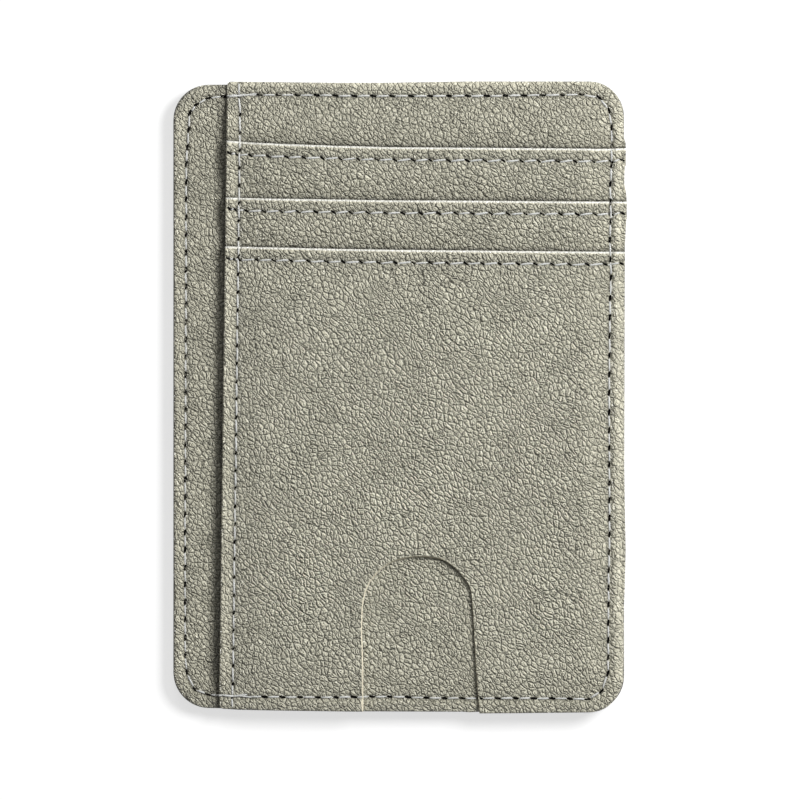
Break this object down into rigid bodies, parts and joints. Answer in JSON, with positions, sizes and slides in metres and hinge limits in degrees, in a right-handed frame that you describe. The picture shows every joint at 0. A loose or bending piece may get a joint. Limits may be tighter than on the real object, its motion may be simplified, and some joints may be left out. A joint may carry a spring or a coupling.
{
  "type": "card holder",
  "caption": "Slim upright leather card holder: stepped slot panels with turned hems, thumb arch, side cash pocket, clear window on the back.",
  "frame": {"origin": "centre of the outline, on the plane that the holder lies on", "axes": "+Z out of the front face, +Y towards the top edge, where the slots open, +X away from the side where the cash pocket opens"},
  "size_m": [0.0816, 0.114, 0.0058],
  "materials": {
    "leather": "pebbled warm grey, satin",
    "cloth": "thin woven lining, matte",
    "thread": "light grey twisted sewing thread",
    "foil": "plain foil",
    "board": "pressed fibre board",
    "film": "clear flexible film"
  },
  "bodies": {
    "root": {"base_panel": "leather", "top_panel": "leather", "slot_1_panel": "leather", "slot_2_panel": "leather", "slot_3_panel": "leather", "back_top_panel": "leather", "back_slot_1_panel": "leather", "back_slot_2_panel": "leather", "window_panel": "leather", "window_film": "film", "top_pocket_cloth": "cloth", "slot_1_pocket_cloth": "cloth", "cash_pocket_lining": "cloth", "back_top_pocket_cloth": "cloth", "back_slot_1_pocket_cloth": "cloth", "front_shield_foil": "foil", "back_shield_foil": "foil", "stiffener_board": "board", "outer_thread_front": "thread", "outer_thread_back": "thread", "open_edge_thread": "thread", "slot_1_hem_thread": "thread", "slot_2_hem_thread": "thread", "slot_3_hem_thread": "thread", "back_hem_1_thread": "thread", "back_hem_2_thread": "thread", "back_hem_3_thread": "thread", "window_thread": "thread"}
  },
  "joints": []
}
